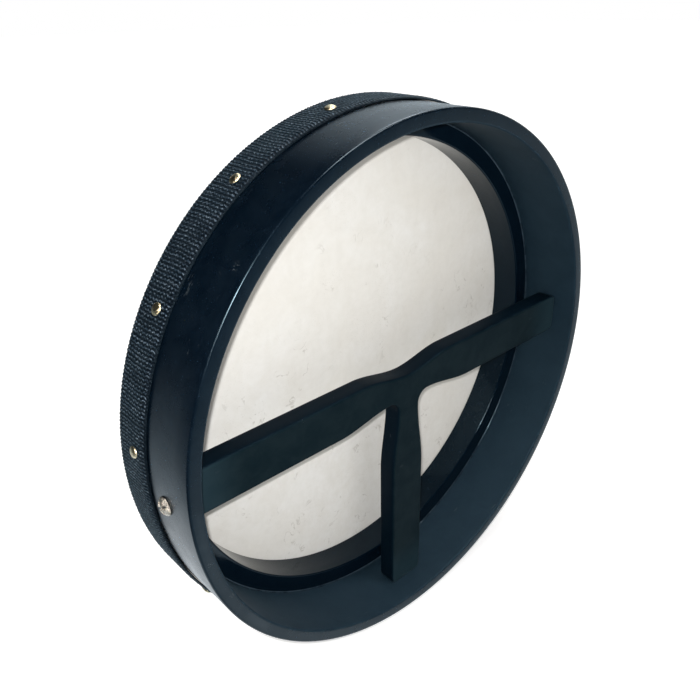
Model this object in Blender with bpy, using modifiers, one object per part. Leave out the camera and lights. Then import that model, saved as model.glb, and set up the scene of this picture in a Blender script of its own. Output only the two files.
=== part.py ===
"""Bodhran: a small Irish frame drum with a T-shaped crossbar, 254 mm across.

Frame: +Z up, the drum's axis along Y, the open back toward -Y and the skin toward +Y.
The origin is the middle of the crossbar's grip, on the drum's axis.
A depth is measured along +Y from the open back edge of the shell.
A clock angle is measured in the XZ plane from +X toward +Z, as seen from the back.
"""

from math import acos, cos, pi, radians, sin

import bmesh
import bpy
from mathutils import Matrix, Vector

# Clearance kept between pieces that touch on the real drum.
GAP = 0.0003
# Points closer than this are one point.
MERGE_DISTANCE = 0.00001

# Shell: one bent hoop of wood, open at the back.
SHELL_RADIUS = 0.1270
SHELL_WALL = 0.0062
SHELL_DEPTH = 0.0480
SHELL_EDGE_RADIUS = 0.0010
HOOP_SEGMENTS = 80
EDGE_STEPS = 3

# Inner ring: the hoop glued inside the shell at the head end.
RING_WALL = 0.0086
RING_LENGTH = 0.0156
RING_EDGE_RADIUS = 0.0008

# Skin: the flat head with its edge turned down outside the shell.
SKIN_THICKNESS = 0.0004
SKIN_SKIRT_LENGTH = 0.0180
SKIN_BEND_STEPS = 4

# Webbing band nailed round the shell over the turned-down skin.
BAND_WIDTH = 0.0190
BAND_THICKNESS = 0.0009
BAND_START_DEPTH = 0.0284
BAND_EDGE_RADIUS = 0.0004
BAND_EDGE_STEPS = 2

# Crossbar: one flat board, a bar across the drum and a stem down to the rim.
BAR_THICKNESS = 0.0100
BAR_START_DEPTH = 0.0120
BAR_HALF_WIDTH = 0.0105
BAR_EDGE_RADIUS = 0.0013
BAR_EDGE_SEGMENTS = 2
BAR_CORNER_ANGLE = 60.0
GRIP_WAIST = 0.0042
GRIP_TOP_HALF_LENGTH = 0.0290
GRIP_LOWER_ENDS_AT = 0.0440
NECK_WAIST = 0.0036
NECK_FULL_AT = 0.0125
NECK_ENDS_AT = 0.0475
JUNCTION_RADIUS = 0.0060
WAIST_STEPS = 10
JUNCTION_STEPS = 5

# Pan head wood screws through the shell into the three ends of the crossbar. A drifted screw sits
# nearer the skin than the middle of the board's thickness.
SCREW_ANGLES = {"screw_left": 181.2, "screw_right": 0.0, "screw_bottom": 270.0}
SCREW_DRIFT = {"screw_left": 0.0012}
SCREW_HEAD_RADIUS = 0.0040
SCREW_HEAD_HEIGHT = 0.0025
SCREW_HEAD_RIM = 0.0009
SCREW_SHANK_RADIUS = 0.0018
SCREW_SHANK_LENGTH = 0.0260
SCREW_TIP_LENGTH = 0.0040
SCREW_TIP_RADIUS = 0.0003
SCREW_SEGMENTS = 20
SCREW_DOME_STEPS = 4
RECESS_LENGTH = 0.0044
RECESS_SLOT = 0.0011
RECESS_DEPTH = 0.0015

# Round head tacks along the middle of the band. They are driven by hand, so some sit off their even
# places by the drift, in degrees.
TACK_COUNT = 15
TACK_FIRST_ANGLE = 100.8
TACK_DEPTH = 0.0352
TACK_DRIFT = {2: -1.2, 3: -0.3, 4: 1.0, 5: 16.8, 6: 13.6, 7: 11.4, 8: 8.2,
              9: 5.9, 10: 2.8, 11: 0.4, 12: -2.8, 13: -5.0, 14: -8.3, 15: -11.0}
TACK_HEAD_RADIUS = 0.0025
TACK_HEAD_HEIGHT = 0.0012
TACK_SHANK_RADIUS = 0.0007
TACK_SHANK_LENGTH = 0.0056
TACK_TIP_LENGTH = 0.0015
TACK_TIP_RADIUS = 0.0002
TACK_SEGMENTS = 12
TACK_DOME_STEPS = 3
HOLE_SEGMENTS = 8
SCREW_HOLE_SEGMENTS = 12

# Positions that follow from the dimensions.
BAR_MIDDLE_DEPTH = BAR_START_DEPTH + BAR_THICKNESS / 2
SHELL_INNER_RADIUS = SHELL_RADIUS - SHELL_WALL
RING_OUTER_RADIUS = SHELL_INNER_RADIUS - GAP
RING_INNER_RADIUS = RING_OUTER_RADIUS - RING_WALL
BAR_REACH_RADIUS = SHELL_INNER_RADIUS - GAP
SKIN_INNER_RADIUS = SHELL_RADIUS + GAP
SKIN_OUTER_RADIUS = SKIN_INNER_RADIUS + SKIN_THICKNESS
SKIN_BACK_DEPTH = SHELL_DEPTH + GAP
SKIN_FRONT_DEPTH = SKIN_BACK_DEPTH + SKIN_THICKNESS
BAND_INNER_RADIUS = SKIN_OUTER_RADIUS + GAP
BAND_OUTER_RADIUS = BAND_INNER_RADIUS + BAND_THICKNESS
TACK_SEAT_RADIUS = BAND_OUTER_RADIUS + GAP
SCREW_SEAT_RADIUS = SHELL_RADIUS + GAP

# The drum's axis in the frame: local +Z of a turned piece becomes world +Y.
TURNED = Matrix.Rotation(-pi / 2, 4, "X")


def clear_scene():
    """Remove every object, mesh and curve that the file starts with."""
    for item in list(bpy.data.objects):
        bpy.data.objects.remove(item, do_unlink=True)
    for block in list(bpy.data.meshes):
        bpy.data.meshes.remove(block)
    for block in list(bpy.data.curves):
        bpy.data.curves.remove(block)


def make_collection(name):
    collection = bpy.data.collections.new(name)
    bpy.context.scene.collection.children.link(collection)
    return collection


def make_material(name, colour, roughness, metallic=0.0, coat=0.0):
    material = bpy.data.materials.new(name)
    material.use_nodes = True
    shader = material.node_tree.nodes["Principled BSDF"]
    shader.inputs["Base Color"].default_value = (*colour, 1.0)
    shader.inputs["Roughness"].default_value = roughness
    shader.inputs["Metallic"].default_value = metallic
    shader.inputs["Coat Weight"].default_value = coat
    material.diffuse_color = (*colour, 1.0)
    return material


def add_object(name, mesh, collection, material=None):
    item = bpy.data.objects.new(name, mesh)
    collection.objects.link(item)
    if material is not None:
        mesh.materials.clear()
        mesh.materials.append(material)
    return item


def shade(mesh, angle=35.0):
    """Smooth shading that keeps the edges sharper than the angle."""
    mesh.shade_smooth()
    mesh.set_sharp_from_angle(angle=radians(angle))


def arc(centre_r, centre_z, radius, start, end, steps):
    """Points of an arc in the (radius, depth) plane, angles in degrees."""
    points = []
    for i in range(steps + 1):
        angle = radians(start + (end - start) * i / steps)
        points.append((centre_r + radius * cos(angle), centre_z + radius * sin(angle)))
    return points


def turned(name, profile, closed, segments, collection, material):
    """A profile of (radius, depth) points turned about the drum's axis by a Screw modifier.

    The profile runs from the head end down the outer side to the back.
    """
    mesh = bpy.data.meshes.new(name)
    shape = bmesh.new()
    corners = [shape.verts.new((r, 0.0, z)) for r, z in profile]
    for first, second in zip(corners, corners[1:]):
        shape.edges.new((first, second))
    if closed:
        shape.edges.new((corners[-1], corners[0]))
    shape.to_mesh(mesh)
    shape.free()
    item = add_object(name, mesh, collection, material)
    item.matrix_world = Matrix.Translation((0.0, -BAR_MIDDLE_DEPTH, 0.0)) @ TURNED
    screw = item.modifiers.new("Turn", "SCREW")
    screw.axis = "Z"
    screw.angle = 2 * pi
    screw.steps = segments
    screw.render_steps = segments
    screw.use_merge_vertices = True
    screw.merge_threshold = MERGE_DISTANCE
    screw.use_smooth_shade = True
    return item


def radial_matrix(angle, radius, depth):
    """Local +Z points outward along the radius at this clock angle and depth."""
    outward = Vector((cos(radians(angle)), 0.0, sin(radians(angle))))
    along = Vector((0.0, 1.0, 0.0))
    side = along.cross(outward)
    place = outward * radius
    place.y = depth - BAR_MIDDLE_DEPTH
    rotation = Matrix((side, along, outward)).transposed().to_4x4()
    return Matrix.Translation(place) @ rotation


def cone(shape, segments, lower, upper, z_low, z_high):
    """A closed cylinder or cone along local Z in a bmesh."""
    bmesh.ops.create_cone(
        shape, cap_ends=True, segments=segments, radius1=lower, radius2=upper,
        depth=z_high - z_low, matrix=Matrix.Translation((0.0, 0.0, (z_low + z_high) / 2)),
    )


def hole_cutter(name, places, radius, z_low, z_high, segments, collection):
    """One cutter with a cylinder at each radial matrix."""
    mesh = bpy.data.meshes.new(name)
    shape = bmesh.new()
    for place in places:
        before = set(shape.verts)
        cone(shape, segments, radius, radius, z_low, z_high)
        added = [vertex for vertex in shape.verts if vertex not in before]
        bmesh.ops.transform(shape, matrix=place, verts=added)
    shape.to_mesh(mesh)
    shape.free()
    item = add_object(name, mesh, collection)
    item.hide_render = True
    item.display_type = "WIRE"
    return item


def cut(item, cutter, operation="DIFFERENCE"):
    modifier = item.modifiers.new("Cut " + cutter.name, "BOOLEAN")
    modifier.operation = operation
    modifier.solver = "EXACT"
    modifier.object = cutter


def ease(value):
    """Smooth step from 0 to 1, flat at both ends."""
    value = min(max(value, 0.0), 1.0)
    return value * value * (3.0 - 2.0 * value)


def grip_top(x):
    """Height of the bar's upper edge above its middle line."""
    return BAR_HALF_WIDTH - GRIP_WAIST * ease(1.0 - abs(x) / GRIP_TOP_HALF_LENGTH)


def grip_bottom(x):
    """Height of the bar's lower edge, negative, beside the junction with the stem."""
    span = GRIP_LOWER_ENDS_AT - JUNCTION_RADIUS - BAR_HALF_WIDTH + NECK_WAIST
    return -BAR_HALF_WIDTH + GRIP_WAIST * ease((GRIP_LOWER_ENDS_AT - abs(x)) / span)


def stem_side(z):
    """Half width of the stem at this height, narrower at its neck."""
    span = NECK_ENDS_AT - NECK_FULL_AT
    return BAR_HALF_WIDTH - NECK_WAIST * ease((NECK_ENDS_AT - abs(z)) / span)


def crossbar_outline():
    """Outline of the crossbar as seen from the back, counter-clockwise.

    The waists end one step short, so that no three corners lie on one straight line.
    """
    reach = SHELL_RADIUS
    neck = BAR_HALF_WIDTH - NECK_WAIST
    waist = BAR_HALF_WIDTH - GRIP_WAIST
    junction_x = neck + JUNCTION_RADIUS
    junction_z = -waist - JUNCTION_RADIUS
    right_side = [(BAR_HALF_WIDTH, -reach)]
    for i in range(WAIST_STEPS + 1):
        z = -NECK_ENDS_AT + (NECK_ENDS_AT + junction_z) * i / WAIST_STEPS
        right_side.append((stem_side(z), z))
    for i in range(1, JUNCTION_STEPS + 1):
        angle = pi - (pi / 2) * i / JUNCTION_STEPS
        right_side.append((junction_x + JUNCTION_RADIUS * cos(angle),
                           junction_z + JUNCTION_RADIUS * sin(angle)))
    for i in range(1, WAIST_STEPS):
        x = junction_x + (GRIP_LOWER_ENDS_AT - junction_x) * i / WAIST_STEPS
        right_side.append((x, grip_bottom(x)))
    right_side.append((reach, -BAR_HALF_WIDTH))
    top = [(reach, BAR_HALF_WIDTH)]
    for i in range(1, 2 * WAIST_STEPS):
        x = GRIP_TOP_HALF_LENGTH * (1.0 - i / WAIST_STEPS)
        top.append((x, grip_top(x)))
    top.append((-reach, BAR_HALF_WIDTH))
    left_side = [(-x, z) for x, z in reversed(right_side)]
    return right_side + top + left_side


def frozen_mesh(item, name):
    """The item's mesh with its modifiers applied; the item itself is removed."""
    bpy.context.view_layer.update()
    depsgraph = bpy.context.evaluated_depsgraph_get()
    mesh = bpy.data.meshes.new_from_object(item.evaluated_get(depsgraph))
    mesh.name = name
    bpy.data.objects.remove(item, do_unlink=True)
    shade(mesh)
    return mesh


def curve_to_mesh(curve_object, name, collection, material):
    """A closed mesh object in place of a curve object."""
    bpy.context.view_layer.update()
    depsgraph = bpy.context.evaluated_depsgraph_get()
    mesh = bpy.data.meshes.new_from_object(curve_object.evaluated_get(depsgraph))
    shape = bmesh.new()
    shape.from_mesh(mesh)
    bmesh.ops.remove_doubles(shape, verts=shape.verts, dist=MERGE_DISTANCE)
    shape.to_mesh(mesh)
    shape.free()
    item = add_object(name, mesh, collection, material)
    item.matrix_world = curve_object.matrix_world.copy()
    curve = curve_object.data
    bpy.data.objects.remove(curve_object, do_unlink=True)
    bpy.data.curves.remove(curve)
    return item


def build_shell(collection, material):
    edge = SHELL_EDGE_RADIUS
    outer, inner = SHELL_RADIUS, SHELL_INNER_RADIUS
    profile = arc(outer - edge, SHELL_DEPTH - edge, edge, 90, 0, EDGE_STEPS)
    profile += arc(outer - edge, edge, edge, 0, -90, EDGE_STEPS)
    profile += arc(inner + edge, edge, edge, -90, -180, EDGE_STEPS)
    profile.append((inner, SHELL_DEPTH))
    return turned("shell", profile, True, HOOP_SEGMENTS, collection, material)


def build_inner_ring(collection, material):
    edge = RING_EDGE_RADIUS
    back = SHELL_DEPTH - RING_LENGTH
    outer, inner = RING_OUTER_RADIUS, RING_INNER_RADIUS
    profile = [(inner, SHELL_DEPTH), (outer, SHELL_DEPTH), (outer, back)]
    profile += arc(inner + edge, back + edge, edge, -90, -180, EDGE_STEPS)
    return turned("inner_ring", profile, True, HOOP_SEGMENTS, collection, material)


def build_skin(collection, material):
    outer_bend = SHELL_EDGE_RADIUS + GAP + SKIN_THICKNESS
    inner_bend = SHELL_EDGE_RADIUS + GAP
    centre_r = SHELL_RADIUS - SHELL_EDGE_RADIUS
    centre_z = SHELL_DEPTH - SHELL_EDGE_RADIUS
    hem = SKIN_FRONT_DEPTH - SKIN_SKIRT_LENGTH
    profile = [(0.0, SKIN_FRONT_DEPTH)]
    profile += arc(centre_r, centre_z, outer_bend, 90, 0, SKIN_BEND_STEPS)
    profile += [(SKIN_OUTER_RADIUS, hem), (SKIN_INNER_RADIUS, hem)]
    profile += arc(centre_r, centre_z, inner_bend, 0, 90, SKIN_BEND_STEPS)
    profile.append((0.0, SKIN_BACK_DEPTH))
    return turned("drum_skin", profile, False, HOOP_SEGMENTS, collection, material)


def build_band(collection, material):
    edge = BAND_EDGE_RADIUS
    outer, inner = BAND_OUTER_RADIUS, BAND_INNER_RADIUS
    front = BAND_START_DEPTH + BAND_WIDTH
    profile = [(inner, front)]
    profile += arc(outer - edge, front - edge, edge, 90, 0, BAND_EDGE_STEPS)
    profile += arc(outer - edge, BAND_START_DEPTH + edge, edge, 0, -90, BAND_EDGE_STEPS)
    profile.append((inner, BAND_START_DEPTH))
    return turned("webbing_band", profile, True, HOOP_SEGMENTS, collection, material)


def build_crossbar(collection, cutters, material):
    curve = bpy.data.curves.new("t_bar_outline", "CURVE")
    curve.dimensions = "2D"
    curve.fill_mode = "BOTH"
    curve.extrude = BAR_THICKNESS / 2
    outline = crossbar_outline()
    spline = curve.splines.new("POLY")
    spline.points.add(len(outline) - 1)
    for point, (x, z) in zip(spline.points, outline):
        point.co = (x, z, 0.0, 1.0)
    spline.use_cyclic_u = True
    guide = bpy.data.objects.new("t_bar_outline", curve)
    collection.objects.link(guide)
    guide.rotation_euler = (pi / 2, 0.0, 0.0)
    bar = curve_to_mesh(guide, "t_bar", collection, material)
    rounding = bar.modifiers.new("Rounded edges", "BEVEL")
    rounding.width = BAR_EDGE_RADIUS
    rounding.segments = BAR_EDGE_SEGMENTS
    rounding.limit_method = "ANGLE"
    rounding.angle_limit = radians(BAR_CORNER_ANGLE)

    trim_mesh = bpy.data.meshes.new("bar_end_trim")
    shape = bmesh.new()
    cone(shape, HOOP_SEGMENTS, BAR_REACH_RADIUS, BAR_REACH_RADIUS, -BAR_THICKNESS, BAR_THICKNESS)
    shape.to_mesh(trim_mesh)
    shape.free()
    trim = add_object("bar_end_trim", trim_mesh, cutters)
    trim.matrix_world = TURNED
    trim.hide_render = True
    trim.display_type = "WIRE"
    cut(bar, trim, "INTERSECT")
    return bar


def screw_mesh(name, material, cutters):
    """Pan head screw along local Z: head above zero, shank below, cross recess in the head."""
    sphere_radius = (SCREW_HEAD_RADIUS ** 2 + (SCREW_HEAD_HEIGHT - SCREW_HEAD_RIM) ** 2) \
        / (2 * (SCREW_HEAD_HEIGHT - SCREW_HEAD_RIM))
    dome_centre = SCREW_HEAD_HEIGHT - sphere_radius
    half_angle = acos((SCREW_HEAD_RIM - dome_centre) / sphere_radius)
    profile = []
    for i in range(SCREW_DOME_STEPS + 1):
        angle = half_angle * i / SCREW_DOME_STEPS
        profile.append((sphere_radius * sin(angle), dome_centre + sphere_radius * cos(angle)))
    profile.append((SCREW_HEAD_RADIUS, 0.0))
    profile.append((SCREW_SHANK_RADIUS, 0.0))
    profile.append((SCREW_SHANK_RADIUS, -SCREW_SHANK_LENGTH + SCREW_TIP_LENGTH))
    profile.append((SCREW_TIP_RADIUS, -SCREW_SHANK_LENGTH))
    profile.append((0.0, -SCREW_SHANK_LENGTH))
    blank = turned(name + "_blank", profile, False, SCREW_SEGMENTS, cutters, material)
    blank.matrix_world = Matrix.Identity(4)

    bottom = SCREW_HEAD_HEIGHT - RECESS_DEPTH
    slot_cutters = []
    for number, turn in enumerate((-pi / 4, pi / 4), start=1):
        slot = bpy.data.meshes.new(f"{name}_slot_{number}")
        shape = bmesh.new()
        bmesh.ops.create_cube(
            shape, size=1.0,
            matrix=Matrix.Rotation(turn, 4, "Z")
            @ Matrix.Translation((0.0, 0.0, bottom + SCREW_HEAD_HEIGHT / 2))
            @ Matrix.Diagonal((RECESS_LENGTH, RECESS_SLOT, SCREW_HEAD_HEIGHT, 1.0)),
        )
        shape.to_mesh(slot)
        shape.free()
        slot_cutter = add_object(slot.name, slot, cutters)
        cut(blank, slot_cutter)
        slot_cutters.append(slot_cutter)
    mesh = frozen_mesh(blank, name)
    for slot_cutter in slot_cutters:
        bpy.data.objects.remove(slot_cutter, do_unlink=True)
    return mesh


def tack_mesh(name, material, cutters):
    """Round head tack along local Z: domed head above zero, pointed shank below."""
    profile = []
    for i in range(TACK_DOME_STEPS + 1):
        angle = (pi / 2) * i / TACK_DOME_STEPS
        profile.append((TACK_HEAD_RADIUS * sin(angle), TACK_HEAD_HEIGHT * cos(angle)))
    profile.append((TACK_SHANK_RADIUS, 0.0))
    profile.append((TACK_SHANK_RADIUS, -TACK_SHANK_LENGTH + TACK_TIP_LENGTH))
    profile.append((TACK_TIP_RADIUS, -TACK_SHANK_LENGTH))
    profile.append((0.0, -TACK_SHANK_LENGTH))
    blank = turned(name + "_blank", profile, False, TACK_SEGMENTS, cutters, material)
    blank.matrix_world = Matrix.Identity(4)
    return frozen_mesh(blank, name)


def tack_angles():
    """Clock angle of each tack, with its drift."""
    angles = []
    for number in range(1, TACK_COUNT + 1):
        even = TACK_FIRST_ANGLE + 360.0 * (number - 1) / TACK_COUNT
        angles.append(even + TACK_DRIFT.get(number, 0.0))
    return angles


def main():
    clear_scene()
    parts = make_collection("bodhran")
    cutters = make_collection("cutters")

    shell_paint = make_material("black_shell_lacquer", (0.012, 0.015, 0.018), 0.22, coat=0.5)
    ring_paint = make_material("black_ring_lacquer", (0.014, 0.017, 0.020), 0.28, coat=0.3)
    bar_paint = make_material("black_bar_satin", (0.018, 0.022, 0.025), 0.35)
    skin_hide = make_material("cream_goat_skin", (0.80, 0.76, 0.70), 0.60)
    webbing = make_material("black_ribbed_webbing", (0.030, 0.035, 0.045), 0.75)
    screw_metal = make_material("nickel_screw_metal", (0.72, 0.68, 0.60), 0.25, metallic=1.0)
    brass = make_material("brass_tack_metal", (0.70, 0.55, 0.30), 0.25, metallic=1.0)

    shell = build_shell(parts, shell_paint)
    build_inner_ring(parts, ring_paint)
    skin = build_skin(parts, skin_hide)
    band = build_band(parts, webbing)
    bar = build_crossbar(parts, cutters, bar_paint)

    screw_shape = screw_mesh("pan_head_screw", screw_metal, cutters)
    screw_places = []
    for name, angle in SCREW_ANGLES.items():
        depth = BAR_MIDDLE_DEPTH + SCREW_DRIFT.get(name, 0.0)
        place = radial_matrix(angle, SCREW_SEAT_RADIUS, depth)
        screw = add_object(name, screw_shape, parts, screw_metal)
        screw.matrix_world = place
        screw_places.append(place)
    screw_holes = hole_cutter(
        "screw_holes", screw_places, SCREW_SHANK_RADIUS + GAP,
        -SCREW_SHANK_LENGTH - GAP, SHELL_WALL, SCREW_HOLE_SEGMENTS, cutters)
    cut(shell, screw_holes)
    cut(bar, screw_holes)

    tack_shape = tack_mesh("round_head_tack", brass, cutters)
    tack_places = []
    for number, angle in enumerate(tack_angles(), start=1):
        place = radial_matrix(angle, TACK_SEAT_RADIUS, TACK_DEPTH)
        tack = add_object(f"tack_{number:02d}", tack_shape, parts, brass)
        tack.matrix_world = place
        tack_places.append(place)
    tack_holes = hole_cutter(
        "tack_holes", tack_places, TACK_SHANK_RADIUS + GAP,
        -TACK_SHANK_LENGTH - GAP, TACK_HEAD_HEIGHT, HOLE_SEGMENTS, cutters)
    for item in (shell, skin, band):
        cut(item, tack_holes)


main()
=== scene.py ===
from math import acos, cos, hypot, pi, radians, sin, sqrt

import bmesh
import bpy
import numpy as np
from mathutils import Matrix, Vector, noise


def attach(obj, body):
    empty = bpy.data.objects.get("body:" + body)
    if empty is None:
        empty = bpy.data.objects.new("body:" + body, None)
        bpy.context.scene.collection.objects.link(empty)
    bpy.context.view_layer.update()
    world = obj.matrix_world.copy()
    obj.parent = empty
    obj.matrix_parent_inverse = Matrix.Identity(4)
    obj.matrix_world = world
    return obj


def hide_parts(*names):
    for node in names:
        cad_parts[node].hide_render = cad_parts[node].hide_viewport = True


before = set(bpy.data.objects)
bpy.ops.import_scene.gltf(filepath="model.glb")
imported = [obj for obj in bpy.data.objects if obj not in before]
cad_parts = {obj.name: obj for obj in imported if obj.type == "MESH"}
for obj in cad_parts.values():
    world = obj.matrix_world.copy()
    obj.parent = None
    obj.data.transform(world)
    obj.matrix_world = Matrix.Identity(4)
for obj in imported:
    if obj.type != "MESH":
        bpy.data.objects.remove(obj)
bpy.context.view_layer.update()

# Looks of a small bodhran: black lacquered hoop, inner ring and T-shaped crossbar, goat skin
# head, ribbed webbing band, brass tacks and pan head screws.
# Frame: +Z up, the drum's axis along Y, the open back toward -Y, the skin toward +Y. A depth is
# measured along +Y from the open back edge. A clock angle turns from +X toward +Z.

MM = 0.001
MIDDLE_DEPTH = 17.0 * MM

# Shell and inner ring.
SHELL_OUTER, SHELL_INNER = 127.0 * MM, 120.8 * MM
SHELL_DEPTH, SHELL_EDGE = 48.0 * MM, 1.0 * MM
RING_INNER = 111.9 * MM
RING_BACK, RING_EDGE = 32.4 * MM, 0.8 * MM
GLUE_BEAD = 0.8 * MM

# Skin, and the band over its turned-down edge.
SKIN_OUTER, SKIN_INNER = 127.7 * MM, 127.3 * MM
SKIN_FRONT, SKIN_BACK, SKIN_HEM = 48.7 * MM, 48.3 * MM, 30.7 * MM
BAND_INNER, BAND_CREST, BAND_VALLEY = 128.0 * MM, 128.95 * MM, 128.55 * MM
BAND_START, BAND_WIDTH = 28.4 * MM, 19.0 * MM
BAND_TUCK, TUCK_WIDTH = 0.62 * MM, 3.2 * MM
# Radius at which the cloth's pattern is laid flat.
CLOTH_RADIUS = 128.5 * MM
RIBS, RIB_STEPS, YARNS, YARN_STEPS = 505, 5, 15, 3

# Crossbar.
BAR_BACK, BAR_FRONT, BAR_HALF = 12.0 * MM, 22.0 * MM, 10.5 * MM
BAR_EDGE, BAR_EDGE_STEPS, BAR_END_CORNER = 1.3 * MM, 5, 2.4 * MM
BAR_REACH = 120.6 * MM
GRIP_WAIST, GRIP_TOP_HALF, GRIP_LOWER_END = 4.2 * MM, 29.0 * MM, 44.0 * MM
NECK_WAIST, NECK_FULL, NECK_END = 3.6 * MM, 12.5 * MM, 47.5 * MM
JUNCTION = 6.0 * MM

# Screws: clock angle, drift from the board's middle toward the skin, and turn of the recess.
SCREWS = {"screw_left": (181.2, 1.2 * MM, 35.0), "screw_right": (0.0, 0.0, 17.0),
          "screw_bottom": (270.0, 0.0, 64.0)}
SCREW_SEAT, SCREW_RADIUS, SCREW_HEIGHT, SCREW_RIM = 127.3 * MM, 4.0 * MM, 2.5 * MM, 0.45 * MM
SCREW_SHANK, SCREW_SHANK_LENGTH, SCREW_TURNS = 1.8 * MM, 26.0 * MM, 12
# Painted shade in the recess: full at this depth, and none beyond this radius.
RECESS_SHADE_DEPTH, RECESS_SHADE_REACH = 1.2 * MM, 2.8 * MM
# Tacks, and how far in degrees some sit off their even places.
TACKS, TACK_FIRST, TACK_DEPTH, TACK_SEAT = 15, 100.8, 35.2 * MM, 129.2 * MM
TACK_DRIFT = {2: -1.2, 3: -0.3, 4: 1.0, 5: 16.8, 6: 13.6, 7: 11.4, 8: 8.2,
              9: 5.9, 10: 2.8, 11: 0.4, 12: -2.8, 13: -5.0, 14: -8.3, 15: -11.0}
TACK_RADIUS, TACK_HEIGHT, TACK_SHANK, TACK_SHANK_LENGTH = 2.5 * MM, 1.2 * MM, 0.7 * MM, 5.6 * MM

TURN_STEPS, SKIN_STEPS = 288, 240
SCREW_STEPS, TACK_STEPS = 72, 36
SEED = 7


# ---------------------------------------------------------------- meshes

def ease(value):
    """Smooth step from 0 to 1."""
    value = min(max(value, 0.0), 1.0)
    return value * value * (3.0 - 2.0 * value)


def arc(r, d, radius, start, end, steps):
    """Points of an arc in the (radius, depth) plane, angles in degrees."""
    turn = [radians(start + (end - start) * i / steps) for i in range(steps + 1)]
    return [(r + radius * cos(a), d + radius * sin(a)) for a in turn]


def finish_mesh(name, points, faces, material, sharp):
    """An object with this mesh, smooth except at edges sharper than the angle."""
    mesh = bpy.data.meshes.new(name)
    mesh.from_pydata(points, [], faces)
    shape = bmesh.new()
    shape.from_mesh(mesh)
    bmesh.ops.remove_doubles(shape, verts=shape.verts, dist=1e-6)
    bmesh.ops.recalc_face_normals(shape, faces=shape.faces)
    shape.to_mesh(mesh)
    shape.free()
    mesh.materials.append(material)
    mesh.shade_smooth()
    mesh.set_sharp_from_angle(angle=radians(sharp))
    item = bpy.data.objects.new(name, mesh)
    bpy.context.scene.collection.objects.link(item)
    return item


def grid_faces(rows, columns, closed_rows):
    """Quads of a grid whose columns close on themselves."""
    faces = []
    for p in range(rows if closed_rows else rows - 1):
        a, b = p * columns, ((p + 1) % rows) * columns
        for s in range(columns):
            t = (s + 1) % columns
            faces.append((a + s, a + t, b + t, b + s))
    return faces


def turned(name, profile, material, waver, steps=TURN_STEPS, sharp=40.0):
    """A closed (radius, depth) profile turned about the drum's axis. waver(radius, depth, angle)
    moves a point."""
    points = []
    for r, d in profile:
        for s in range(steps):
            angle = 2 * pi * s / steps
            q, e = waver(r, d, angle)
            points.append((q * cos(angle), e - MIDDLE_DEPTH, q * sin(angle)))
    return finish_mesh(name, points, grid_faces(len(profile), steps, True), material, sharp)


def radial_place(angle, radius, depth, spin=0.0):
    """Local +Z points outward along the radius at this clock angle and depth."""
    outward = Vector((cos(radians(angle)), 0.0, sin(radians(angle))))
    along = Vector((0.0, 1.0, 0.0))
    turn = Matrix((along.cross(outward), along, outward)).transposed().to_4x4()
    place = outward * radius
    place.y = depth - MIDDLE_DEPTH
    return Matrix.Translation(place) @ turn @ Matrix.Rotation(radians(spin), 4, "Z")


# ---------------------------------------------------------------- materials

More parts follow.
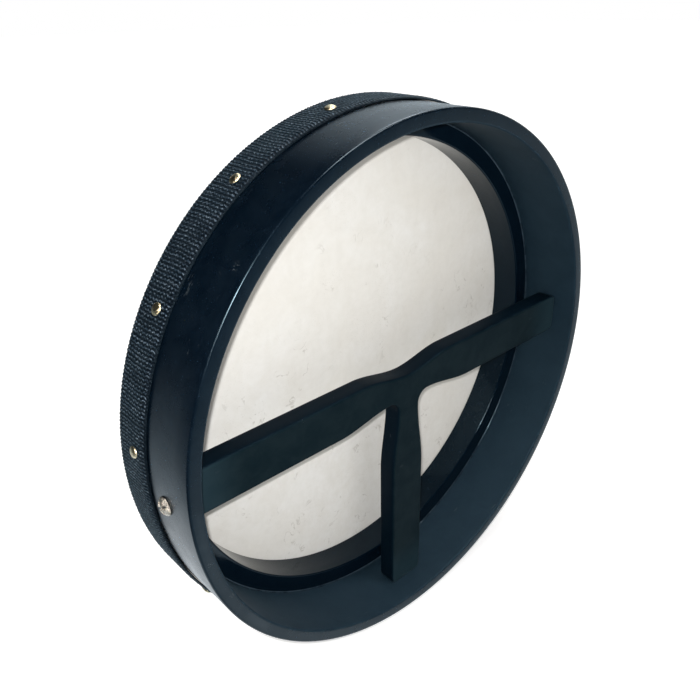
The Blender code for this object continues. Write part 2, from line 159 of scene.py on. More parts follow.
class Nodes:
    """Short calls for building a material's or the world's node tree."""

    def __init__(self, owner):
        owner.use_nodes = True
        self.owner = owner
        self.tree = owner.node_tree
        self.shader = self.tree.nodes.get("Principled BSDF")

    def add(self, kind, inputs=None, **settings):
        item = self.tree.nodes.new(kind)
        for key, value in settings.items():
            setattr(item, key, value)
        for key, value in (inputs or {}).items():
            self.put(item.inputs[key], value)
        return item

    def put(self, socket, value):
        if isinstance(value, bpy.types.NodeSocket):
            self.tree.links.new(value, socket)
        else:
            socket.default_value = value

    def set(self, **values):
        """Sets the shader's sockets, with _ for a space in their names."""
        for key, value in values.items():
            if isinstance(value, tuple) and len(value) == 3:
                value = (*value, 1.0)
            self.put(self.shader.inputs[key.replace("_", " ")], value)

    def place(self, stretch=(1.0, 1.0, 1.0), shift=(0.0, 0.0, 0.0)):
        coordinates = self.add("ShaderNodeTexCoord").outputs["Object"]
        if stretch == (1.0, 1.0, 1.0) and shift == (0.0, 0.0, 0.0):
            return coordinates
        return self.add("ShaderNodeMapping", {"Vector": coordinates, "Scale": stretch,
                                              "Location": shift}).outputs["Vector"]

    def noise(self, scale, detail=3.0, rough=0.5, vector=None, warp=0.0):
        return self.add("ShaderNodeTexNoise", {
            "Vector": vector or self.place(), "Scale": scale, "Detail": detail,
            "Roughness": rough, "Distortion": warp}).outputs["Fac"]

    def cells(self, scale):
        return self.add("ShaderNodeTexVoronoi", {
            "Vector": self.place(), "Scale": scale}).outputs["Distance"]

    def math(self, operation, a, b=0.0):
        item = self.add("ShaderNodeMath", operation=operation)
        for socket, value in zip(item.inputs, (a, b)):
            self.put(socket, value)
        return item.outputs[0]

    def span(self, value, low, high, to_low=0.0, to_high=1.0, smooth=True):
        return self.add("ShaderNodeMapRange", {
            "Value": value, "From Min": low, "From Max": high,
            "To Min": to_low, "To Max": to_high},
            interpolation_type="SMOOTHSTEP" if smooth else "LINEAR").outputs["Result"]

    def mix(self, factor, a, b):
        item = self.add("ShaderNodeMix", data_type="RGBA")
        for socket, value in ((item.inputs[0], factor), (item.inputs[6], a), (item.inputs[7], b)):
            if isinstance(value, tuple) and len(value) == 3:
                value = (*value, 1.0)
            self.put(socket, value)
        return item.outputs[2]

    def bump(self, height, distance, strength, after=None):
        item = self.add("ShaderNodeBump", {"Height": height, "Distance": distance,
                                           "Strength": strength})
        if after:
            self.put(item.inputs["Normal"], after)
        return item.outputs["Normal"]

    def apart(self, vector=None):
        return self.add("ShaderNodeSeparateXYZ", {"Vector": vector or self.place()}).outputs

    def join(self, x, y, z):
        return self.add("ShaderNodeCombineXYZ", {"X": x, "Y": y, "Z": z}).outputs["Vector"]

    def radius(self):
        """Distance from the drum's axis."""
        x, _, z = self.apart()
        return self.math("SQRT", self.math("ADD", self.math("MULTIPLY", x, x),
                                           self.math("MULTIPLY", z, z)))

    def unrolled(self, radius):
        """Coordinates of a surface round the axis laid flat: along the turn, across, outward."""
        x, y, z = self.apart()
        along = self.math("MULTIPLY", self.math("ARCTAN2", z, x), radius)
        return self.join(along, y, self.radius())


def new_material(name):
    return Nodes(bpy.data.materials.new(name))


def lacquer(name, low, high, roughness, ior, scratch=0.5, peel=1.0, marks=(),
            square_face_light=None, bore_reflection=None, seam_highlight=None):
    """Black paint on wood: faint colour drift, orange peel, dust specks and fine scratches.
    Each mark is the place and size of a scuff. Two colours given for faces square to the drum's
    axis are painted light on those faces, which are painted lighter still near the shell, where it
    shades them. Two colours given for the bore are painted there as a lighter, bluer painted
    reflection on the same black paint. A colour given for the corner between ring and shell is a
    painted highlight along that corner."""
    n = new_material(name)
    drift = n.span(n.noise(90.0, 6.0, 0.7, warp=0.5), 0.32, 0.68)
    dust = n.span(n.cells(420.0), 0.065, 0.02)
    seldom = n.span(n.noise(60.0, 2.0), 0.60, 0.72)
    specks = n.math("MULTIPLY", dust, seldom)
    hairline = n.noise(900.0, 2.0, 0.5, n.place((0.05, 1.0, 0.35)))
    scratches = n.math("MULTIPLY", n.span(hairline, 0.66, 0.78),
                       n.span(n.noise(35.0, 3.0, 0.6), 0.56, 0.70))
    wear = n.math("MULTIPLY", scratches, scratch)
    crumbs = n.span(n.cells(1300.0), 0.30, 0.16)
    for place, size in marks:
        away = n.add("ShaderNodeVectorMath", {0: n.place(), 1: place}, operation="DISTANCE")
        spot = n.span(away.outputs["Value"], size, 0.2 * size)
        wear = n.math("MAXIMUM", wear, n.math("MULTIPLY", spot, crumbs))
    colour = n.mix(drift, low, high)
    # Painted reflection: the bore is painted lighter and bluer than the outside of the same black
    # paint.
    if bore_reflection:
        bore = n.span(n.radius(), SHELL_INNER + 1.2 * MM, SHELL_INNER + 0.3 * MM)
        colour = n.mix(bore, colour, n.mix(drift, *bore_reflection))
    # Painted highlight: a lighter line along the corner between ring and shell.
    if seam_highlight:
        corner = n.span(n.radius(), SHELL_INNER - 0.70 * MM, SHELL_INNER - 0.42 * MM)
        seam_highlight_mask = n.math("MULTIPLY", corner,
                        n.span(n.noise(110.0, 4.0, 0.7), 0.34, 0.56, 0.25, 1.0))
        colour = n.mix(seam_highlight_mask, colour, seam_highlight)
    # Painted light: faces square to the drum's axis are painted lighter than edges and sides.
    if square_face_light:
        _, square, _ = n.apart(n.add("ShaderNodeTexCoord").outputs["Normal"])
        painted_light_faces = n.span(n.math("ABSOLUTE", square), 0.55, 0.95)
        colour = n.mix(painted_light_faces, colour, n.mix(drift, *square_face_light))
        # Painted light: those faces are painted lighter still near the shell, where it shades them.
        ends = n.span(n.radius(), 0.093, 0.121, 0.0, 0.42)
        colour = n.mix(n.math("MULTIPLY", painted_light_faces, ends), colour, (0.0280, 0.0560, 0.0720))
    colour = n.mix(n.math("MULTIPLY", specks, 0.7), colour, (0.16, 0.18, 0.18))
    colour = n.mix(n.math("MULTIPLY", wear, 0.7), colour, (0.12, 0.14, 0.15))
    rough = n.span(n.noise(48.0, 5.0, 0.65), 0.3, 0.7, roughness - 0.04, roughness + 0.05)
    rough = n.math("ADD", rough, n.math("MULTIPLY", n.math("MAXIMUM", specks, wear), 0.25))
    if bore_reflection:
        rough = n.math("MAXIMUM", rough, n.math("MULTIPLY", bore, 0.72))
    normal = n.bump(n.noise(260.0, 3.0, 0.5), 0.00008 * peel, 0.35)
    normal = n.bump(n.noise(38.0, 2.0, 0.5), 0.0004 * peel, 0.25, normal)
    normal = n.bump(specks, 0.00005, 0.6, normal)
    n.set(Base_Color=colour, Roughness=rough, Normal=normal, IOR=ior,
          Specular_Tint=(0.58, 0.86, 1.0))
    return n.owner


def goat_skin():
    """Cream hide, thin and slightly cloudy, with faint veins, pores and smudges."""
    n = new_material("cream_goat_skin")
    clouds = n.noise(14.0, 5.0, 0.6, warp=0.6)
    blotches = n.noise(60.0, 6.0, 0.70, warp=0.5)
    mottle = n.noise(260.0, 4.0, 0.65)
    fibres = n.noise(160.0, 5.0, 0.7, n.place((1.0, 1.0, 0.28)))
    pores = n.math("MULTIPLY", n.span(n.cells(900.0), 0.28, 0.10),
                   n.span(n.noise(40.0, 3.0), 0.50, 0.66))
    smudge = n.math("MULTIPLY", n.span(n.noise(75.0, 6.0, 0.75), 0.56, 0.72),
                    n.span(n.noise(19.0, 2.0, 0.5, n.place(shift=(3.0, 1.0, 5.0))), 0.50, 0.64))
    flecks = n.math("ABSOLUTE", n.math("SUBTRACT", n.noise(85.0, 3.0, 0.6, warp=1.2), 0.5))
    flecks = n.math("MULTIPLY", n.span(flecks, 0.030, 0.004),
                    n.span(n.noise(110.0, 2.0, 0.5, n.place(shift=(7.0, 2.0, 1.0))), 0.57, 0.66))
    flecks = n.math("MULTIPLY", flecks, n.span(n.noise(16.0, 2.0), 0.42, 0.56))
    colour = n.mix(n.span(clouds, 0.3, 0.7), (0.825, 0.800, 0.745), (0.880, 0.870, 0.840))
    colour = n.mix(n.span(blotches, 0.35, 0.75, 0.0, 0.42), colour, (0.745, 0.715, 0.655))
    colour = n.mix(n.span(mottle, 0.35, 0.70, 0.0, 0.22), colour, (0.72, 0.70, 0.645))
    colour = n.mix(n.span(fibres, 0.35, 0.75, 0.0, 0.22), colour, (0.74, 0.72, 0.67))
    colour = n.mix(n.math("MULTIPLY", pores, 0.20), colour, (0.45, 0.41, 0.36))
    colour = n.mix(n.math("MULTIPLY", smudge, 0.34), colour, (0.56, 0.53, 0.47))
    colour = n.mix(n.math("MULTIPLY", flecks, 0.40), colour, (0.36, 0.33, 0.28))
    rough = n.span(blotches, 0.3, 0.7, 0.46, 0.62)
    normal = n.bump(fibres, 0.00012, 0.35)
    normal = n.bump(blotches, 0.0006, 0.2, normal)
    n.set(Base_Color=colour, Roughness=rough, Normal=normal, Sheen_Weight=0.05,
          Specular_IOR_Level=0.35)
    return n.owner


def webbing():
    """Black nylon webbing: crests painted lighter than the grooves as painted light and shade,
    painted highlights on the crests in short bright dashes and glints from shiny filaments, more
    dashes near the edges, and a ragged painted shade along the very edges."""
    n = new_material("black_ribbed_webbing")
    flat = n.unrolled(CLOTH_RADIUS)

    def stretched(along, across, detail, rough):
        return n.noise(1.0, detail, rough, n.add("ShaderNodeVectorMath", {
            0: flat, 1: (along, across, 1.0)}, operation="MULTIPLY").outputs["Vector"])

    tall = BAND_CREST - BAND_VALLEY
    filaments = stretched(2600.0, 3600.0, 2.0, 0.6)
    dashes = stretched(1500.0, 1350.0, 2.0, 0.65)
    patches = stretched(120.0, 160.0, 2.0, 0.5)
    _, y, _ = n.apart()
    rear = BAND_START - MIDDLE_DEPTH
    front = rear + BAND_WIDTH
    tucked = n.span(y, rear + TUCK_WIDTH, rear, 0.0, BAND_TUCK)
    crest = n.span(n.math("ADD", n.radius(), tucked),
                   BAND_VALLEY + 0.40 * tall, BAND_VALLEY + 0.90 * tall)
    edge = n.math("MAXIMUM", n.span(y, rear + 2.4 * MM, rear + 0.5 * MM),
                  n.span(y, front - 1.6 * MM, front - 0.5 * MM))
    edge_shade_jitter = n.math("MULTIPLY", n.math("SUBTRACT", dashes, 0.5), 3.0 * MM)
    hem = n.math("MAXIMUM", n.span(n.math("ADD", y, edge_shade_jitter), rear + 0.8 * MM, rear + 0.3 * MM),
                 n.span(n.math("SUBTRACT", y, edge_shade_jitter), front - 0.8 * MM, front - 0.3 * MM))
    limit = n.math("SUBTRACT", n.span(patches, 0.35, 0.65, 0.57, 0.50, False),
                   n.math("MULTIPLY", edge, 0.03))
    above = n.math("ADD", n.math("SUBTRACT", dashes, limit), n.math("MULTIPLY", crest, 0.03))
    # Painted highlights: bright dashes on the crests, more of them near the edges, and glints where
    # filaments shine.
    shine = n.math("MULTIPLY", n.math("ADD", n.math("MULTIPLY", crest, 0.94), 0.06),
                   n.span(above, -0.02, 0.11))
    glint = n.math("MULTIPLY", shine, n.span(filaments, 0.56, 0.66))
    # Painted light and shade: crests lighter than the grooves.
    colour = n.mix(crest, (0.0003, 0.0012, 0.0034), (0.0095, 0.0180, 0.0290))
    colour = n.mix(shine, colour, (0.084, 0.116, 0.150))
    colour = n.mix(glint, colour, (0.36, 0.42, 0.46))
    # Painted shade: a ragged dark line along both edges of the band.
    colour = n.mix(n.math("MULTIPLY", hem, 0.90), colour, (0.0004, 0.0018, 0.0042))
    rough = n.span(filaments, 0.3, 0.7, 0.50, 0.78)
    normal = n.bump(filaments, 0.00010, 0.6)
    normal = n.bump(dashes, 0.00016, 0.6, normal)
    n.set(Base_Color=colour, Roughness=rough, Normal=normal, Sheen_Weight=0.06,
          Sheen_Roughness=0.4, Sheen_Tint=(0.40, 0.78, 1.0), Specular_IOR_Level=0.12,
          Specular_Tint=(0.60, 0.86, 1.0))
    return n.owner


def metal(name, bright, dull, roughness, scale, pits, specks):
    """Plated or bare metal: tarnish, dark specks, drawn lines, small dents and painted shade in
    recesses.
    """
    n = new_material(name)
    tarnish = n.noise(scale, 5.0, 0.65, warp=0.5)
    lines = n.noise(scale * 7.0, 2.0, 0.6, n.place((1.0, 0.2, 1.0)))
    dents = n.span(n.noise(scale * 1.6, 4.0, 0.7, n.place(shift=(2.0, 5.0, 1.0))), 0.35, 0.65)
    colour = n.mix(n.span(tarnish, 0.44, 0.66), bright, dull)
    spots = n.span(n.noise(scale * 2.6, 3.0, 0.7, n.place(shift=(1.0, 4.0, 2.0))), 0.53, 0.62)
    colour = n.mix(n.math("MULTIPLY", spots, specks), colour, (0.030, 0.027, 0.022))
    # Painted shade: darker the deeper a point lies in a recess.
    sunk = n.span(n.add("ShaderNodeAttribute", attribute_name="sunk").outputs["Fac"], 0.60, 1.15)
    colour = n.mix(n.math("MULTIPLY", sunk, 0.96), colour, (0.020, 0.018, 0.016))
    rough = n.span(tarnish, 0.3, 0.7, roughness, roughness + 0.18)
    normal = n.bump(lines, 0.00006, 0.35)
    normal = n.bump(dents, pits, 0.6, normal)
    n.set(Base_Color=colour, Metallic=1.0, Roughness=rough, Normal=normal)
    return n.owner


# Scuffs in the paint. On the hoop: clock angle, radius, depth and size.
HOOP_SCUFFS = ((137.0, 127.0 * MM, 7.0 * MM, 2.6 * MM), (138.9, 127.0 * MM, 12.6 * MM, 0.9 * MM),
               (108.9, 127.0 * MM, 24.7 * MM, 1.3 * MM), (104.5, 127.0 * MM, 20.0 * MM, 1.6 * MM),
               (52.0, 120.8 * MM, 4.0 * MM, 2.6 * MM),
               (201.0, 122.5 * MM, 0.0, 1.8 * MM), (190.7, 124.0 * MM, 0.0, 1.5 * MM),
               (232.0, 127.0 * MM, 15.0 * MM, 3.0 * MM), (312.0, 127.0 * MM, 9.0 * MM, 2.4 * MM),
               (24.0, 127.0 * MM, 18.0 * MM, 2.8 * MM))
# On the crossbar: place and size.
BAR_SCUFFS = (((-8.2 * MM, -5.0 * MM, -47.9 * MM), 1.3 * MM),
              ((0.7 * MM, -5.0 * MM, -25.3 * MM), 1.5 * MM),
              ((-64.2 * MM, -5.0 * MM, 9.5 * MM), 1.6 * MM),
              ((38.0 * MM, -5.0 * MM, 3.0 * MM), 1.2 * MM))


def on_hoop(angle, radius, depth):
    return (radius * cos(radians(angle)), depth - MIDDLE_DEPTH, radius * sin(radians(angle)))


# The shell's bore colours are a painted reflection.
shell_paint = lacquer("black_shell_lacquer", (0.0008, 0.0030, 0.0066), (0.0022, 0.0054, 0.0100),
                      0.26, 1.38, marks=[(on_hoop(*mark[:3]), mark[3]) for mark in HOOP_SCUFFS],
                      bore_reflection=((0.0034, 0.0110, 0.0195), (0.0060, 0.0155, 0.0255)))
# The ring's last colour is a painted highlight along its corner with the shell.
ring_paint = lacquer("black_ring_lacquer", (0.0008, 0.0038, 0.0084), (0.0014, 0.0052, 0.0104),
                     0.11, 1.30, seam_highlight=(0.020, 0.032, 0.044))
# The crossbar's last two colours are painted light on its faces square to the drum's axis.
bar_paint = lacquer("black_bar_satin", (0.0012, 0.0046, 0.0088), (0.0018, 0.0058, 0.0104),
                    0.45, 1.11, 0.6, 1.4, marks=BAR_SCUFFS,
                    square_face_light=((0.0028, 0.0082, 0.0115), (0.0064, 0.0130, 0.0165)))
hide = goat_skin()
cloth = webbing()
nickel = metal("nickel_screw_metal", (0.84, 0.78, 0.68), (0.46, 0.39, 0.29),
               0.34, 900.0, 0.30 * MM, 0.85)
brass = metal("brass_tack_metal", (0.84, 0.74, 0.50), (0.50, 0.42, 0.24),
              0.25, 700.0, 0.10 * MM, 0.35)


# ---------------------------------------------------------------- wooden hoops

def shell_profile():
    e, steps = SHELL_EDGE, 6
    profile = arc(SHELL_OUTER - e, SHELL_DEPTH - e, e, 90, 0, steps)
    profile += [(SHELL_OUTER, SHELL_DEPTH - e - t * MM) for t in (6.0, 14.0, 22.0, 30.0, 38.0)]
    profile += arc(SHELL_OUTER - e, e, e, 0, -90, steps)
    profile += arc(SHELL_INNER + e, e, e, -90, -180, steps)
    profile += [(SHELL_INNER, e + t * MM) for t in (8.0, 16.0, 24.0, 32.0, 40.0)]
    return profile + [(SHELL_INNER, SHELL_DEPTH)]


def ring_profile():
    """The ring, with a bead of glue and paint in the corner where it meets the shell."""
    e, bead = RING_EDGE, GLUE_BEAD
    profile = [(RING_INNER, SHELL_DEPTH), (SHELL_INNER, SHELL_DEPTH),
               (SHELL_INNER, RING_BACK - bead)]
    profile += [(SHELL_INNER - bead + bead * cos(a), RING_BACK - bead + bead * sin(a))
                for a in (radians(t) for t in (15, 30, 45, 60, 75, 90))]
    profile += [(SHELL_INNER - 3.0 * MM, RING_BACK), (RING_INNER + e + 0.5 * MM, RING_BACK)]
    profile += arc(RING_INNER + e, RING_BACK + e, e, -90, -180, 8)
    return profile + [(RING_INNER, RING_BACK + 6.0 * MM), (RING_INNER, RING_BACK + 11.0 * MM)]


def uneven_wood(size):
    """Bent wood is never quite round: a slow waver of a few hundredths of a millimetre."""
    def waver(r, d, angle):
        spot = Vector((cos(angle) * 3.0, d * 60.0, sin(angle) * 3.0))
        return r + size * noise.noise(spot), d
    return waver


shell = turned("shell_hoop", shell_profile(), shell_paint, uneven_wood(0.06 * MM))
ring = turned("inner_ring_hoop", ring_profile(), ring_paint, uneven_wood(0.05 * MM), sharp=50.0)


# ---------------------------------------------------------------- skin

def skin_profile():
    edge = SHELL_EDGE
    centre_r, centre_d = SHELL_OUTER - edge, SHELL_DEPTH - edge
    outer, inner = SKIN_OUTER - centre_r, SKIN_INNER - centre_r
    rings = [i / 22.0 for i in range(23)]
    profile = [(centre_r * t, SKIN_FRONT) for t in rings[:-1]]
    profile += arc(centre_r, centre_d, outer, 90, 0, 8)
    profile += [(SKIN_OUTER, centre_d - t * MM) for t in (4.0, 8.0, 12.0)]
    profile += [(SKIN_OUTER, SKIN_HEM), (SKIN_INNER, SKIN_HEM)]
    profile += [(SKIN_INNER, centre_d - t * MM) for t in (12.0, 8.0, 4.0)]
    profile += arc(centre_r, centre_d, inner, 0, 90, 8)
    return profile + [(centre_r * t, SKIN_BACK) for t in reversed(rings[:-1])]


def hide_waver(r, d, angle):
    """The hide is thicker here and thinner there, and puckers a little where it turns down."""
    spot = Vector((r * cos(angle) * 30.0, 0.0, r * sin(angle) * 30.0))
    free = ease((r - 0.004) / 0.02) * ease((0.124 - r) / 0.012)
    side = 1.0 if d > 48.5 * MM else -1.0
    lift = 0.05 * MM * noise.noise(spot) * free
    pucker = 0.05 * MM * noise.noise(Vector((cos(angle) * 22.0, sin(angle) * 22.0, 4.0)))
    return r + pucker * ease((r - 0.125) / 0.002), d + side * lift


skin = turned("goat_skin_head", skin_profile(), hide, hide_waver, SKIN_STEPS, 50.0)


# ---------------------------------------------------------------- webbing band

def band_mesh():
    """Ribs lie across the band; warp yarns pass over every second rib, as in a plain weave."""
    rows, columns = YARNS * YARN_STEPS, RIBS * RIB_STEPS
    w = np.arange(rows + 1) / rows
    u = np.arange(columns)
    rib, part = u // RIB_STEPS, (u % RIB_STEPS) / RIB_STEPS
    rng = np.random.default_rng(SEED)
    tall = rng.uniform(0.86, 1.0, RIBS)[rib]
    lean = rng.uniform(-0.12, 0.12, RIBS)[rib]
    swell = np.sin(pi * part) ** 1.4
    yarn = w * YARNS
    over = np.cos(pi * (yarn[:, None] - 0.5 + rib[None, :]))
    loose = rng.uniform(-1.0, 1.0, (rows + 1, RIBS))[:, rib]
    lift = swell[None, :] * tall[None, :] * (0.82 + 0.11 * over + 0.07 * loose)
    rim = np.minimum(1.0, np.minimum(w, 1.0 - w) * BAND_WIDTH / (0.55 * MM))
    rim = np.sqrt(1.0 - (1.0 - rim) ** 2)
    radius = BAND_VALLEY + (BAND_CREST - BAND_VALLEY) * lift
    radius = BAND_INNER + (radius - BAND_INNER) * (0.30 + 0.70 * rim[:, None])
    sway = 0.10 * np.sin(2 * pi * (w[:, None] * 1.3 + rib[None, :] / 61.0))
    sway = sway + lean[None, :] * w[:, None]
    sway = sway + 0.13 * np.sin(pi * yarn)[:, None] + 0.05 * loose
    angle = 2 * pi * (u[None, :] / RIB_STEPS + sway) / RIBS
    ragged = rng.uniform(-1.0, 1.0, (2, RIBS))[:, rib] * 0.12 * MM
    depth = np.repeat((BAND_START + BAND_WIDTH * w)[:, None], columns, 1)
    depth[0] += ragged[0] * swell - 0.10 * MM * swell
    depth[-1] += ragged[1] * swell + 0.10 * MM * swell
    tuck = BAND_TUCK * np.array([ease(1.0 - part * BAND_WIDTH / TUCK_WIDTH) for part in w])
    radius -= tuck[:, None]
    # The inner face stays clear of the skin and follows the tuck only behind the skin's hem.
    inner = np.full((3, columns), BAND_INNER)
    inner[2] -= tuck[0]
    radius = np.concatenate([radius, inner])
    angle = np.concatenate([angle, angle[-1:], angle[:1], angle[:1]])
    tuck_starts = np.full((1, columns), BAND_START + TUCK_WIDTH)
    depth = np.concatenate([depth, depth[-1:], tuck_starts, depth[:1]])
    points = np.stack([radius * np.cos(angle), depth - MIDDLE_DEPTH, radius * np.sin(angle)], -1)
    return points.reshape(-1, 3).tolist(), grid_faces(rows + 4, columns, True)


band = finish_mesh("webbing_band_woven", *band_mesh(), cloth, 180.0)


# ---------------------------------------------------------------- crossbar

def grip_top(x):
    return BAR_HALF - GRIP_WAIST * ease(1.0 - abs(x) / GRIP_TOP_HALF)


def grip_bottom(x):
    span = GRIP_LOWER_END - JUNCTION - BAR_HALF + NECK_WAIST
    return -BAR_HALF + GRIP_WAIST * ease((GRIP_LOWER_END - abs(x)) / span)


def stem_side(z):
    return BAR_HALF - NECK_WAIST * ease((NECK_END - abs(z)) / (NECK_END - NECK_FULL))


def spread(start, end, steps):
    return [start + (end - start) * i / steps for i in range(steps)]


def bar_outline():
    """The board's outline seen from the back, counter-clockwise, with its ends cut to the shell."""
    half_turn = BAR_HALF / BAR_REACH
    points = []
    for a in spread(-pi / 2, -pi / 2 + half_turn, 12):
        points.append((BAR_REACH * cos(a), BAR_REACH * sin(a)))
    points += [(stem_side(z), z) for z in spread(-BAR_REACH * cos(half_turn), -NECK_END, 16)]
    junction_x, junction_z = BAR_HALF - NECK_WAIST + JUNCTION, -BAR_HALF + GRIP_WAIST - JUNCTION
    points += [(stem_side(z), z) for z in spread(-NECK_END, junction_z, 30)]
    for a in spread(pi, pi / 2, 14):
        points.append((junction_x + JUNCTION * cos(a), junction_z + JUNCTION * sin(a)))
    points += [(x, grip_bottom(x)) for x in spread(junction_x, GRIP_LOWER_END, 30)]
    reach_x = BAR_REACH * cos(half_turn)
    points += [(x, -BAR_HALF) for x in spread(GRIP_LOWER_END, reach_x, 18)]
    for a in spread(-half_turn, half_turn, 24):
        points.append((BAR_REACH * cos(a), BAR_REACH * sin(a)))
    points += [(x, BAR_HALF) for x in spread(reach_x, GRIP_TOP_HALF, 20)]
    points += [(x, grip_top(x)) for x in spread(GRIP_TOP_HALF, 0.0, 30)]
    left = [(-x, z) for x, z in reversed(points)]
    return points + [(0.0, grip_top(0.0))] + left[:-1]


def round_corners(outline, radius, sharper):
    """Replaces each corner that turns by more than the angle with an arc."""
    count, result, skip = len(outline), [], set()
    flat = [Vector(p) for p in outline]
    corners = []
    for i in range(count):
        before, here, after = flat[i - 1], flat[i], flat[(i + 1) % count]
        turn = (here - before).angle_signed(after - here, 0.0)
        if abs(turn) > radians(sharper):
            corners.append(i)
    arcs = {}
    for i in corners:
        here = flat[i]
        back, forward = i, i
        while (flat[(back - 1) % count] - here).length < radius:
            back -= 1
        while (flat[(forward + 1) % count] - here).length < radius:
            forward += 1
        start, end = flat[(back - 1) % count], flat[(forward + 1) % count]
        for k in range(back, forward + 1):
            skip.add(k % count)
        arcs[i] = [start.lerp(here, t).lerp(here.lerp(end, t), t)
                   for t in (0.2, 0.35, 0.5, 0.65, 0.8)]
    for i in range(count):
        if i in arcs:
            result += [tuple(p) for p in arcs[i]]
        elif i not in skip:
            result.append(outline[i])
    return result


def inset(outline, distance):
    """The outline moved inward by a distance."""
    count, result = len(outline), []
    for i in range(count):
        before, after = Vector(outline[i - 1]), Vector(outline[(i + 1) % count])
        along = (after - before).normalized()
        here = Vector(outline[i])
        result.append((here.x - along.y * distance, here.y + along.x * distance))
    return result


def bar_mesh():
    outline = round_corners(bar_outline(), BAR_END_CORNER, 25.0)
    levels = [(BAR_EDGE + 0.35 * MM, BAR_BACK)]
    for i in range(BAR_EDGE_STEPS + 1):
        a = pi / 2 * i / BAR_EDGE_STEPS
        levels.append((BAR_EDGE * (1 - sin(a)), BAR_BACK + BAR_EDGE * (1 - cos(a))))
    levels += [(0.0, BAR_BACK + t * MM) for t in (3.5, 5.0, 6.5)]
    for i in range(BAR_EDGE_STEPS + 1):
        a = pi / 2 * (1 - i / BAR_EDGE_STEPS)
        levels.append((BAR_EDGE * (1 - sin(a)), BAR_FRONT - BAR_EDGE * (1 - cos(a))))
    levels.append((BAR_EDGE + 0.35 * MM, BAR_FRONT))
    points, count = [], len(outline)
    for distance, depth in levels:
        points += [(x, depth - MIDDLE_DEPTH, z) for x, z in inset(outline, distance)]
    faces = grid_faces(len(levels), count, False)
    last = (len(levels) - 1) * count
    faces.append(tuple(range(count)))
    faces.append(tuple(range(last, last + count)))
    return points, faces


bar = finish_mesh("t_bar_board", *bar_mesh(), bar_paint, 60.0)


# ---------------------------------------------------------------- screws and tacks

def local_turned(profile, steps):
    """Points and faces of a (radius, height) profile turned about local Z."""
    points = [(r * cos(2 * pi * s / steps), r * sin(2 * pi * s / steps), z)
              for r, z in profile for s in range(steps)]
    return points, grid_faces(len(profile), steps, False)


# The dome of the screw's head: its height, and the radius of the sphere that it is cut from.
SCREW_RISE = SCREW_HEIGHT - SCREW_RIM
SCREW_SPHERE = (SCREW_RADIUS ** 2 + SCREW_RISE ** 2) / (2 * SCREW_RISE)


def screw_profile():
    """Domed head above zero and a threaded shank below."""
    sphere = SCREW_SPHERE
    half = acos((sphere - SCREW_RISE) / sphere)
    profile = [(0.0, SCREW_HEIGHT)]
    profile += [(sphere * sin(half * i / 12), SCREW_HEIGHT - sphere + sphere * cos(half * i / 12))
                for i in range(1, 12)]
    profile += [(SCREW_RADIUS * 0.985, SCREW_RIM + 0.06 * MM),
                (SCREW_RADIUS, SCREW_RIM - 0.12 * MM), (SCREW_RADIUS, 0.12 * MM),
                (SCREW_RADIUS - 0.12 * MM, 0.0), (SCREW_SHANK, 0.0)]
    for i in range(1, SCREW_TURNS):
        z = -2.0 * MM - i * 1.5 * MM
        profile += [(SCREW_SHANK * 0.78, z + 0.5 * MM), (SCREW_SHANK, z)]
    return profile + [(0.3 * MM, -SCREW_SHANK_LENGTH + 0.4 * MM), (0.0, -SCREW_SHANK_LENGTH)]


def cross_cutter():
    """A plus shape that narrows as it goes down, for the cross recess."""
    points = []
    for z, reach, half in ((SCREW_HEIGHT - 1.7 * MM, 1.5 * MM, 0.50 * MM),
                           (SCREW_HEIGHT + 0.5 * MM, 3.9 * MM, 0.85 * MM)):
        corner = [(reach, -half), (reach, half), (half, half)]
        for quarter in range(4):
            c, s = cos(pi / 2 * quarter), sin(pi / 2 * quarter)
            points += [(x * c - y * s, x * s + y * c, z) for x, y in corner]
    faces = [(i, (i + 1) % 12, 12 + (i + 1) % 12, 12 + i) for i in range(12)]
    return points, faces + [tuple(range(12)), tuple(range(12, 24))]


def slot_cutter():
    """A long wedge for the slot that runs right across the head."""
    points = [(sx * half, sy * 5.0 * MM, z) for z, half in
              ((SCREW_HEIGHT - 1.55 * MM, 0.42 * MM), (SCREW_HEIGHT + 0.6 * MM, 0.66 * MM))
              for sx, sy in ((-1, -1), (1, -1), (1, 1), (-1, 1))]
    faces = [(i, (i + 1) % 4, 4 + (i + 1) % 4, 4 + i) for i in range(4)]
    return points, faces + [(3, 2, 1, 0), (4, 5, 6, 7)]


def cut_screw():
    """Mesh of one screw in its own place, with the cross recess and the slot cut by Booleans."""
    blank = finish_mesh("screw_blank", *local_turned(screw_profile(), SCREW_STEPS), nickel, 30.0)
    cutters = [finish_mesh("screw_cross", *cross_cutter(), nickel, 30.0),
               finish_mesh("screw_slot", *slot_cutter(), nickel, 30.0)]
    for cutter in cutters:
        boolean = blank.modifiers.new("Recess", "BOOLEAN")
        boolean.operation, boolean.solver, boolean.object = "DIFFERENCE", "EXACT", cutter
    bpy.context.view_layer.update()
    ready = blank.evaluated_get(bpy.context.evaluated_depsgraph_get())
    mesh = bpy.data.meshes.new_from_object(ready)
    for item in (blank, *cutters):
        bpy.data.objects.remove(item, do_unlink=True)
    mesh.shade_smooth()
    mesh.set_sharp_from_angle(angle=radians(32.0))
    # How far each point of the recess lies below the dome, for the painted shade in it.
    sunk = mesh.attributes.new("sunk", "FLOAT", "POINT")
    for vertex, item in zip(mesh.vertices, sunk.data):
        reach = min(hypot(vertex.co.x, vertex.co.y), SCREW_SPHERE)
        dome = SCREW_HEIGHT - SCREW_SPHERE + sqrt(SCREW_SPHERE ** 2 - reach ** 2)
        below = min(max((dome - vertex.co.z) / RECESS_SHADE_DEPTH, 0.0), 1.0)
        item.value = below if reach < RECESS_SHADE_REACH else 0.0
    return mesh


